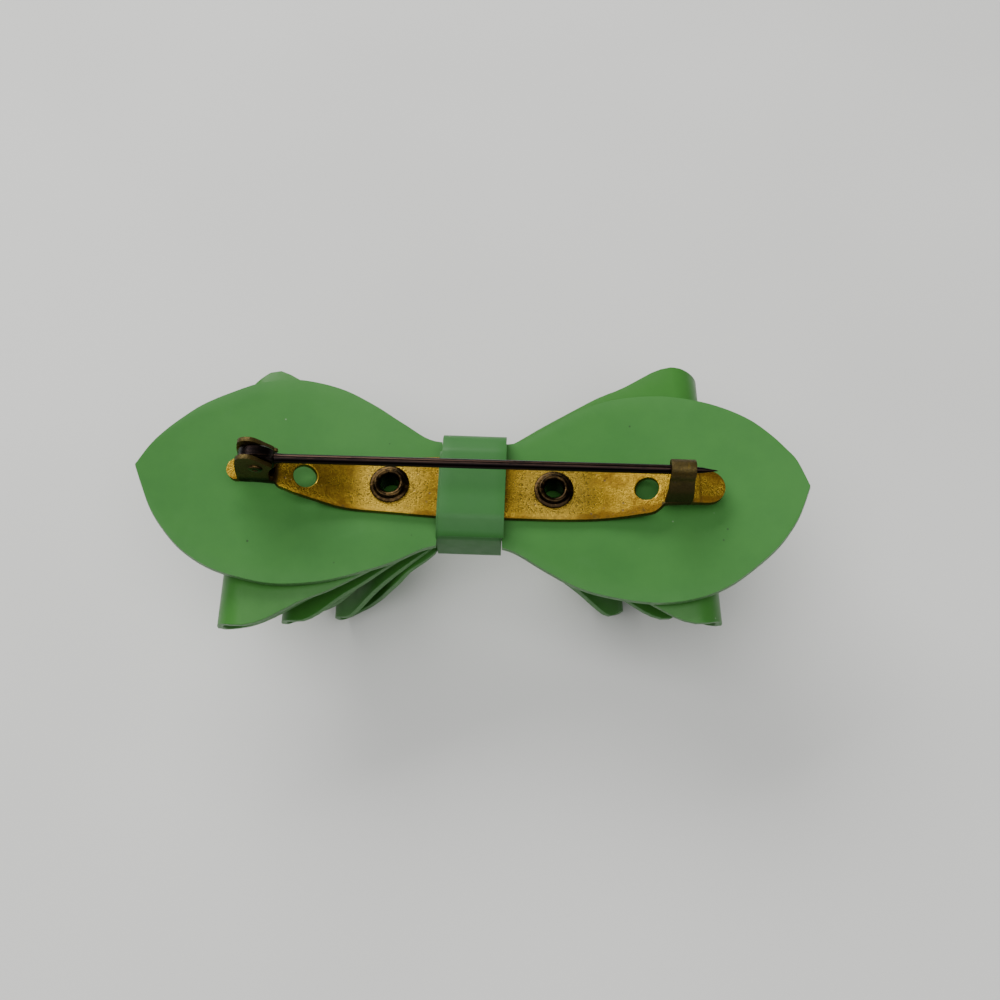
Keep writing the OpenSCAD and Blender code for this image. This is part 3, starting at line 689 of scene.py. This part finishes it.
def wrap_section(grown):
    """The wrap seen along the bow, as Y and Z, grown outwards, its corners rounded."""
    side, low = WAIST_W / 2 + LAYER_GAP, WAIST_H - 6 * (LAYER_GAP + SHEET_T) - LAYER_GAP
    shoulder, top, bar = LEAF_TOP + 2 * LAYER_GAP, BAR_TOP + LAYER_GAP, BAR_W / 2 + LAYER_GAP
    corners = [Vector(p) for p in ((bar, top), (-bar, top), (-side, shoulder), (-side, low),
                                   (side, low), (side, shoulder))]
    points = []
    for i, at in enumerate(corners):
        before, after = corners[i - 1], corners[(i + 1) % len(corners)]
        normals = [Vector((run.y, -run.x)).normalized() for run in (at - before, after - at)]
        radius = FOOT_CORNER if at.y == low else WRAP_CORNER
        centre = at - (normals[0] + normals[1]) * radius / (1 + normals[0].dot(normals[1]))
        start = math.degrees(math.atan2(normals[0].y, normals[0].x))
        turn = math.degrees(math.acos(max(-1, min(1, normals[0].dot(normals[1])))))
        points.append(arc(centre, radius + grown, start, start + turn, 6))
    return points


def wrap_strip():
    """The strip starts under its own lap, runs once round the waist and ends at the lap's edge."""
    inner, lap = wrap_section(WRAP_T / 2), wrap_section(1.5 * WRAP_T + LAP_GAP)
    # Corners in turn: bar's far and near side, near shoulder, near foot, far foot, far shoulder
    path = []
    for k in (0, 1, 2, 3, 4):
        path += [(point, 0.0) for point in inner[k]]
    path += [(point, 0.4) for point in inner[5][:2]]
    path += [(point, 0.8) for point in lap[5][3:]]
    path += [(point, 1.0) for k in (0, 1) for point in lap[k]]
    path += [(point, 1.0) for point in lap[2][:3]]
    stations = [(-point.x, point.y, WRAP_W / 2, LAP_SHIFT * late + WRAP_SHIFT, 0)
                for point, late in path]
    piece = laid_sheet("wrap_strip", stations, 6)
    turn_piece(piece, z=-math.pi / 2)
    piece.data.materials.append(wrap_green)
    piece.data.materials.append(cut_green)
    thicken(piece, WRAP_T, WRAP_EDGE)
    return settle(piece, "wrap_band", sharp=50)


# Bar

def bar_lift(x):
    rise = HINGE_RISE if x < 0 else CATCH_RISE
    level = LEVEL_LEAD + (HINGE_X + BAR_SHIFT if x < 0 else CATCH_X - BAR_SHIFT + CATCH_W / 2)
    return rise * eased((abs(x) - RISE_FROM) / (level - RISE_FROM))


def bar_half(curve, x):
    """Half width of the bar, with its neck and the round tab at its end."""
    column, tab = (1, HINGE_TAB * BAR_W / 2) if x < 0 else (2, CATCH_TAB * BAR_W / 2)
    neck = EAR_HALF if x < 0 else tab
    share = abs(x) / (BAR_LEN / 2)
    body = read_curve(curve, share, column) * BAR_W / 2 if share <= BAR_ROWS[-1][0] else 0
    beyond = abs(x) - (BAR_LEN / 2 - tab)
    return max(body, neck) if beyond <= 0 else math.sqrt(max(0.0001, tab * tab - beyond * beyond))


def bar_plate():
    curve = spline(BAR_ROWS, 8)
    half_len = BAR_LEN / 2
    middle = BAR_BOTTOM + BAR_T / 2
    # Even steps, and closer ones round the ends of the tabs
    places = [k * half_len * 0.95 / 60 for k in range(61)]
    places += [half_len - 0.05 * half_len * (1 - k / 12) ** 2 for k in range(1, 13)]
    xs = sorted({-x for x in places} | set(places))
    stations = [(x + BAR_SHIFT, middle + bar_lift(x), bar_half(curve, x), 0, 0) for x in xs]
    piece = laid_sheet("bar_plate", stations, 8)
    thicken(piece, BAR_T, BAR_EDGE)
    cut_holes(piece, eyelet_places(middle), BAR_T, BARREL_D + 2 * LAYER_GAP, EYELET_MOUTH)
    spare = []
    for x in (-SPARE_HOLE_SPACING / 2, SPARE_HOLE_SPACING / 2):
        slope = (bar_lift(x + 0.05) - bar_lift(x - 0.05)) / 0.1
        spare.append((BAR_SHIFT + x, 0, middle + bar_lift(x), slope))
    cut_holes(piece, spare, BAR_T, SPARE_HOLE_D, SPARE_MOUTH)
    return piece


def ear(side):
    """An ear, bent up from the edge of the bar."""
    foot_z = BAR_BOTTOM + HINGE_RISE + EAR_T / 2
    line = EAR_GAP / 2 + EAR_T / 2
    curve = spline(EAR_ROWS, 5)
    rise = EAR_H - EAR_T / 2
    # The foot starts past the middle of the bar, inside its metal, and bends up at its edge
    stations = [(-0.25, foot_z, EAR_FOOT_HALF, EAR_FOOT_SHIFT, 0)]
    bend = Vector((line - STRIP_BEND, foot_z + STRIP_BEND))
    for k in range(5):
        point = polar(bend, STRIP_BEND, -90 + 18 * k)
        stations.append((point.x, point.y, EAR_FOOT_HALF, EAR_FOOT_SHIFT, 0))
    for share, outward, inward in curve:
        height = foot_z + STRIP_BEND + share * (rise - STRIP_BEND)
        stations.append((line, height, (outward + inward) / 2, (outward - inward) / 2, 0))
    piece = laid_sheet("ear", stations, 8)
    # Turned, the run goes to +Y and the reach towards the bar's end to -X
    turn_piece(piece, z=math.pi / 2)
    if side < 0:
        # The near ear is the mirror image alone
        use(piece, "MIRROR", use_axis=(False, True, False), use_mirror_merge=False)
        bpy.ops.object.mode_set(mode="EDIT")
        select_verts(piece, range(len(piece.data.vertices) // 2))
        bpy.ops.mesh.delete(type="VERT")
        bpy.ops.object.mode_set(mode="OBJECT")
    move_piece(piece, x=-HINGE_X)
    thicken(piece, EAR_T, STRIP_EDGE)
    return piece


def catch_strip():
    """The catch rises from one edge of the bar and curls over the pin."""
    centre = Vector((0, PIN_CATCH_Z))
    radius = PIN_D / 2 + CATCH_GAP + EAR_T / 2
    bottom = BAR_BOTTOM + CATCH_RISE + EAR_T / 2
    foot_y = -BAR_W / 2 * CATCH_TAB + EAR_T / 2
    knee = Vector((foot_y, PIN_CATCH_Z - 2.6 * radius))
    line = [Vector((foot_y + 3 * STRIP_BEND, bottom))]
    line += arc(Vector((foot_y + STRIP_BEND, bottom + STRIP_BEND)), STRIP_BEND, 270, 180, 5)
    line += [bezier(knee, knee + Vector((0, 1.1 * radius)), centre + radius * Vector((-1, -1)),
                    centre - Vector((radius, 0)), k / 10) for k in range(10)]
    line += arc(centre, radius, 180, CATCH_LIP, 16)
    stations = []
    for point in line:
        # The foot is wider than the curl
        spread = CATCH_SPREAD * eased((PIN_CATCH_Z - point.y) / (PIN_CATCH_Z - bottom))
        stations.append((point.x, point.y, CATCH_W / 2 + spread, -spread, 0))
    piece = laid_sheet("catch_strip", stations, 4)
    turn_piece(piece, z=math.pi / 2)
    move_piece(piece, x=CATCH_X)
    thicken(piece, EAR_T, STRIP_EDGE)
    return piece


def hinge_stop():
    """The blunt end of the far ear's lower corner."""
    rings = [(STOP_R * math.sin(math.pi * k / 8) ** 0.6, STOP_LEN * k / 8) for k in range(1, 8)]
    piece = turned("hinge_stop", rings, 20)
    turn_piece(piece, y=math.pi / 2)
    move_piece(piece, -HINGE_X + 1.0, (EAR_GAP + EAR_T) / 2, PIVOT_Z - 0.10)
    return piece


def pin_bar():
    piece = join(bar_plate(), ear(1), ear(-1), catch_strip(), hinge_stop())
    piece.data.materials.clear()
    piece.data.materials.append(old_brass)
    for face in piece.data.polygons:
        face.material_index = 0
    piece.name = "bar_with_catch"
    return settle(piece, "pin_bar", sharp=40)


# Rivet, eyelets and pin

def hinge_rivet():
    half = EAR_HALF + LAYER_GAP / 2
    head = 0.75 * RIVET_D
    # A low dome with a punched dimple
    dome = [(head, half), (0.96 * head, half + 0.05), (0.78 * head, half + 0.10),
            (0.50 * head, half + 0.11), (0.36 * head, half + 0.06), (0.05, half + 0.04)]
    rings = [(r, -z) for r, z in reversed(dome)]
    rings += [(RIVET_D / 2, -half), (RIVET_D / 2, half)] + dome
    piece = turned("rivet_turned", rings, 40)
    turn_piece(piece, x=math.pi / 2)
    move_piece(piece, -HINGE_X, 0, PIVOT_Z)
    piece.data.materials.append(black_brass)
    return settle(piece, "hinge_rivet")


def eyelet(side, name, node):
    """A tubular rivet: a tube, its flange, and the rolled rim over it."""
    hole, barrel, flange = EYELET_HOLE_D / 2, BARREL_D / 2, FLANGE_D / 2
    seat = BAR_TOP + LAYER_GAP / 2
    foot = WAIST_H - 2 * LAYER_GAP - SHEET_T - 0.15
    rim = (barrel + flange) / 2
    roll = (rim - hole) / 2
    crown = Vector(((hole + rim) / 2, BAR_TOP + RIM_H - roll))
    rings = [(hole, foot), (barrel, foot + 0.05), (barrel, seat)]
    rings += [(flange - 0.05, seat), (flange, seat + 0.05), (flange, seat + 0.10)]
    rings += [(flange - 0.06, seat + 0.15), (rim + 0.08, seat + 0.19), (rim + 0.01, seat + 0.20)]
    rings += [tuple(point) for point in arc(crown, roll, 0, 180, 10)] + [(hole, foot)]
    piece = turned(name, rings, 72, closed=True)
    move_piece(piece, side * EYELET_X)
    piece.data.materials.append(black_brass)
    return settle(piece, node)


def pin_stem():
    """A round head between the ears, a stem that swells into it, and a ground point."""
    head_half = EAR_GAP / 2 - HINGE_PLAY
    head_r = HEAD_D / 2
    bore = RIVET_D / 2 + HINGE_PLAY
    flat_r, flat_half = head_r - HEAD_CHAMFER, head_half - HEAD_CHAMFER
    head = turned("pin_head", [
        (bore, -head_half), (flat_r, -head_half), (head_r, -flat_half), (head_r, flat_half),
        (flat_r, head_half), (bore, head_half), (bore, -head_half)], 72, closed=True)
    turn_piece(head, x=math.pi / 2)
    stem_r = PIN_D / 2
    taper_from = HINGE_X + CATCH_X - CATCH_W / 2 - 0.6
    taper_to = PIN_LEN - POINT_LEN
    rings = [(head_half * 0.9, SWELL_FROM)]
    rings += [(head_half + (stem_r - head_half) * eased(k / 5),
               SWELL_FROM + (SWELL_TO - SWELL_FROM) * k / 5) for k in range(1, 6)]
    rings += [(stem_r, taper_from), (0.97 * stem_r, taper_from + 0.9)]
    rings += [(0.86 * stem_r, taper_from + 1.7)]
    rings += [((0.60 - 0.54 * k / 5) * stem_r, taper_to + POINT_LEN * k / 5) for k in range(6)]
    stem = turned("pin_turned", rings, 32)
    turn_piece(stem, y=math.pi / 2 - PIN_SLOPE)
    piece = join(stem, head)
    move_piece(piece, -HINGE_X, 0, PIVOT_Z)
    piece.data.materials.append(black_steel)
    return settle(piece, "pin_stem", body="pin")


leaf_sheet()
ribbon_sheet(OUTER, "outer_sheet", "outer_ribbon")
ribbon_sheet(MIDDLE, "middle_sheet", "middle_ribbon")
ribbon_sheet(INNER, "inner_sheet", "inner_ribbon")
wrap_strip()
pin_bar()
hinge_rivet()
eyelet(-1, "eyelet_left_turned", "eyelet_left")
eyelet(1, "eyelet_right_turned", "eyelet_right")
pin_stem()


# Floor, camera and light

def floor():
    bpy.ops.object.select_all(action="DESELECT")
    bpy.ops.mesh.primitive_plane_add(size=1.2, location=(0, 0, 0))
    made = bpy.context.object
    made.name = "floor"
    made.data.materials.append(floor_finish("pale_floor"))


CAMERA_AZIMUTH, CAMERA_ELEVATION, CAMERA_DISTANCE = math.radians(2.14), math.radians(67.5), 80.0
SENSOR = 36
# The place that the lights face, in metres
LIT_PLACE = Vector((0, 0, 0.01))
# The waist's place in the 1000 x 1000 picture, its height, and the picture's scale there
WAIST_PX, WAIST_Z, PX_PER_MM, PICTURE = (472.0, 493.5), 11.9, 12.98, 1000


def camera():
    s, c = math.sin(CAMERA_ELEVATION), math.cos(CAMERA_ELEVATION)
    right = Vector((math.cos(CAMERA_AZIMUTH), math.sin(CAMERA_AZIMUTH), 0))
    up = Vector((-math.sin(CAMERA_AZIMUTH) * s, math.cos(CAMERA_AZIMUTH) * s, c))
    back = right.cross(up)
    target = (Vector((0, 0, WAIST_Z)) - (WAIST_PX[0] - PICTURE / 2) / PX_PER_MM * right
              + (WAIST_PX[1] - PICTURE / 2) / PX_PER_MM * up)
    data = bpy.data.cameras.new("camera")
    data.sensor_width = SENSOR
    data.lens = SENSOR * PX_PER_MM * CAMERA_DISTANCE / PICTURE
    data.clip_start = 0.002
    data.clip_end = 5
    made = bpy.data.objects.new("camera", data)
    bpy.context.collection.objects.link(made)
    place = (target + back * CAMERA_DISTANCE) * MM
    made.matrix_world = Matrix.Translation(place) @ Matrix((right, up, back)).transposed().to_4x4()
    bpy.context.scene.camera = made


def area_light(name, place, size, power, colour=(1, 1, 1)):
    """A soft light that faces the brooch."""
    data = bpy.data.lights.new(name, "AREA")
    data.shape = "RECTANGLE"
    data.size, data.size_y = size
    data.energy = power
    data.color = colour
    made = bpy.data.objects.new(name, data)
    bpy.context.collection.objects.link(made)
    turn = (LIT_PLACE - Vector(place)).to_track_quat("-Z", "Y")
    made.matrix_world = Matrix.Translation(place) @ turn.to_matrix().to_4x4()


def studio():
    world = bpy.data.worlds.new("room")
    bpy.context.scene.world = world
    world.use_nodes = True
    background = world.node_tree.nodes["Background"]
    background.inputs["Color"].default_value = (0.95, 0.97, 1.0, 1)
    background.inputs["Strength"].default_value = 0.15
    area_light("window", (-0.22, 0.38, 0.32), (0.44, 0.24), 3.2, (1.0, 0.995, 0.98))
    area_light("ceiling", (-0.02, -0.10, 0.55), (0.80, 0.45), 3.6)
    area_light("doorway", (-0.36, 0.14, 0.36), (0.10, 0.24), 0.16)


floor()
camera()
studio()
